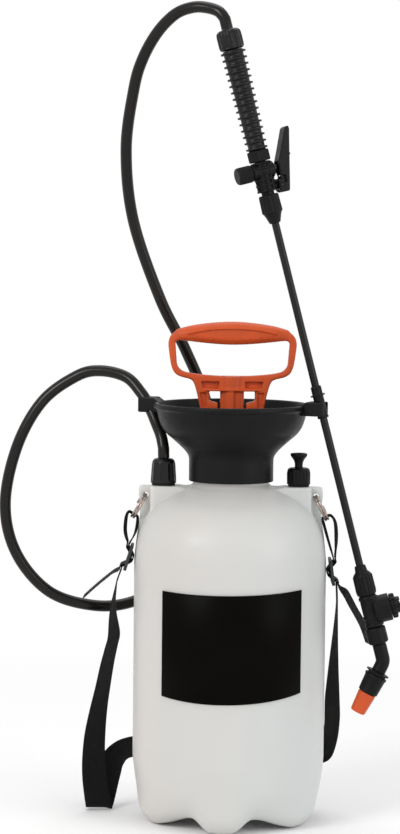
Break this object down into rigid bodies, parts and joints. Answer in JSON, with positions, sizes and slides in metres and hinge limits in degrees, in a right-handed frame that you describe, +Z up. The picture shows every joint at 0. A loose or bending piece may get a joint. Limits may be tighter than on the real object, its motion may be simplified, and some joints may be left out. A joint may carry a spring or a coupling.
{
  "type": "compression sprayer",
  "caption": "Hand-pumped pressure sprayer: translucent tank on petal feet, fill funnel, pump handle, shoulder strap, hose, trigger grip and lance with an angled nozzle.",
  "frame": {"origin": "on the ground under the middle of the footprint of everything but the hose", "axes": "+Z up along the tank and lance, +Y from the label panel to the back, +X to the viewer's right, towards the clipped lance"},
  "size_m": [0.3839, 0.2024, 0.773],
  "materials": {
    "translucent_polyethylene": "satin, translucent white polyethylene",
    "black_label": "gloss film",
    "black_plastic": "satin",
    "orange_plastic": "satin",
    "grey_plastic": "satin",
    "white_plastic": "satin",
    "black_rubber": "matte",
    "hose_vinyl": "semi-gloss",
    "webbing": "woven, matte",
    "nickel_steel": "nickel plate"
  },
  "bodies": {
    "tank": {"tank": "translucent_polyethylene", "label_panel": "black_label", "funnel": "black_plastic", "pump_cap": "black_plastic", "neck_seal": "black_rubber", "pump_barrel": "white_plastic", "pump_check_valve": "black_rubber", "outlet_stem": "black_plastic", "outlet_seal": "black_rubber", "outlet_nut": "black_plastic", "dip_tube": "white_plastic", "dip_filter": "black_plastic", "relief_body": "black_plastic", "relief_seal": "black_rubber", "relief_spring": "nickel_steel", "ring_left": "nickel_steel", "ring_right": "nickel_steel", "buckle_left": "grey_plastic", "buckle_right": "grey_plastic", "shoulder_strap": "webbing", "hose": "hose_vinyl"},
    "pump_rod": {"pump_rod": "white_plastic", "piston": "white_plastic", "piston_seal": "black_rubber"},
    "pump_handle": {"pump_handle": "orange_plastic"},
    "relief_knob": {"relief_knob": "black_plastic"},
    "lance": {"hose_nut": "black_plastic", "grip": "black_plastic", "grip_collar": "black_plastic", "valve_body": "black_plastic", "valve_cap": "black_plastic", "valve_spring": "nickel_steel", "trigger_pin": "nickel_steel", "lance_nut_upper": "black_plastic", "lance_seal_upper": "black_rubber", "lance_tube": "black_plastic", "lance_clip": "black_plastic", "lance_nut_lower": "black_plastic", "lance_seal_lower": "black_rubber", "regulator_body": "black_plastic", "swivel_collar": "black_plastic", "spray_elbow": "black_plastic", "nozzle_seal": "black_rubber", "nozzle_cap": "black_plastic", "swirl_core": "white_plastic"},
    "trigger": {"trigger_lever": "black_plastic"},
    "valve_stem": {"valve_stem": "nickel_steel", "valve_seal": "black_rubber"},
    "regulator_knob": {"regulator_knob": "black_plastic", "regulator_plug": "grey_plastic"},
    "nozzle_tip": {"nozzle_tip": "orange_plastic"}
  },
  "joints": [
    {"name": "pump_stroke", "type": "slide", "parent": "tank", "child": "pump_rod", "axis": [0, 0, 1], "range_m": [0, 0.15]},
    {"name": "handle_lock", "type": "hinge", "parent": "pump_rod", "child": "pump_handle", "pos_m": [-0.0109, -0.00286, 0.4], "axis": [0, 0, 1], "range_deg": [0, 45]},
    {"name": "relief_pull", "type": "slide", "parent": "tank", "child": "relief_knob", "axis": [0, 0, 1], "range_m": [0, 0.004], "stiffness_N_per_m": 800, "springref_m": -0.004, "deforming": ["relief_spring"]},
    {"name": "lance_unclip", "type": "slide", "parent": "tank", "child": "lance", "axis": [0.9472, -0.3206, 0], "range_m": [0, 0.06]},
    {"name": "trigger_squeeze", "type": "hinge", "parent": "lance", "child": "trigger", "pos_m": [0.03128, -0.02621, 0.60346], "axis": [0.331, -0.9397, 0.0862], "range_deg": [0, 12], "stiffness_Nm_per_rad": 1.5, "springref_deg": -8.59, "deforming": ["valve_spring"]},
    {"name": "valve_lift", "type": "slide", "parent": "lance", "child": "valve_stem", "axis": [-0.9093, -0.342, -0.2369], "range_m": [0, 0.0035]},
    {"name": "regulator_turn", "type": "hinge", "parent": "lance", "child": "regulator_knob", "pos_m": [0.12191, -0.03086, 0.20483], "axis": [0.9677, 0, 0.2521], "range_deg": [0, 270]},
    {"name": "nozzle_turn", "type": "hinge", "parent": "lance", "child": "nozzle_tip", "pos_m": [0.13437, -0.03086, 0.15703], "axis": [-0.4446, 0, -0.8957], "range_deg": [0, 360]}
  ],
  "couplings": [
    {"joint": "valve_lift", "follows": "trigger_squeeze", "m_per_rad": 0.0166}
  ]
}
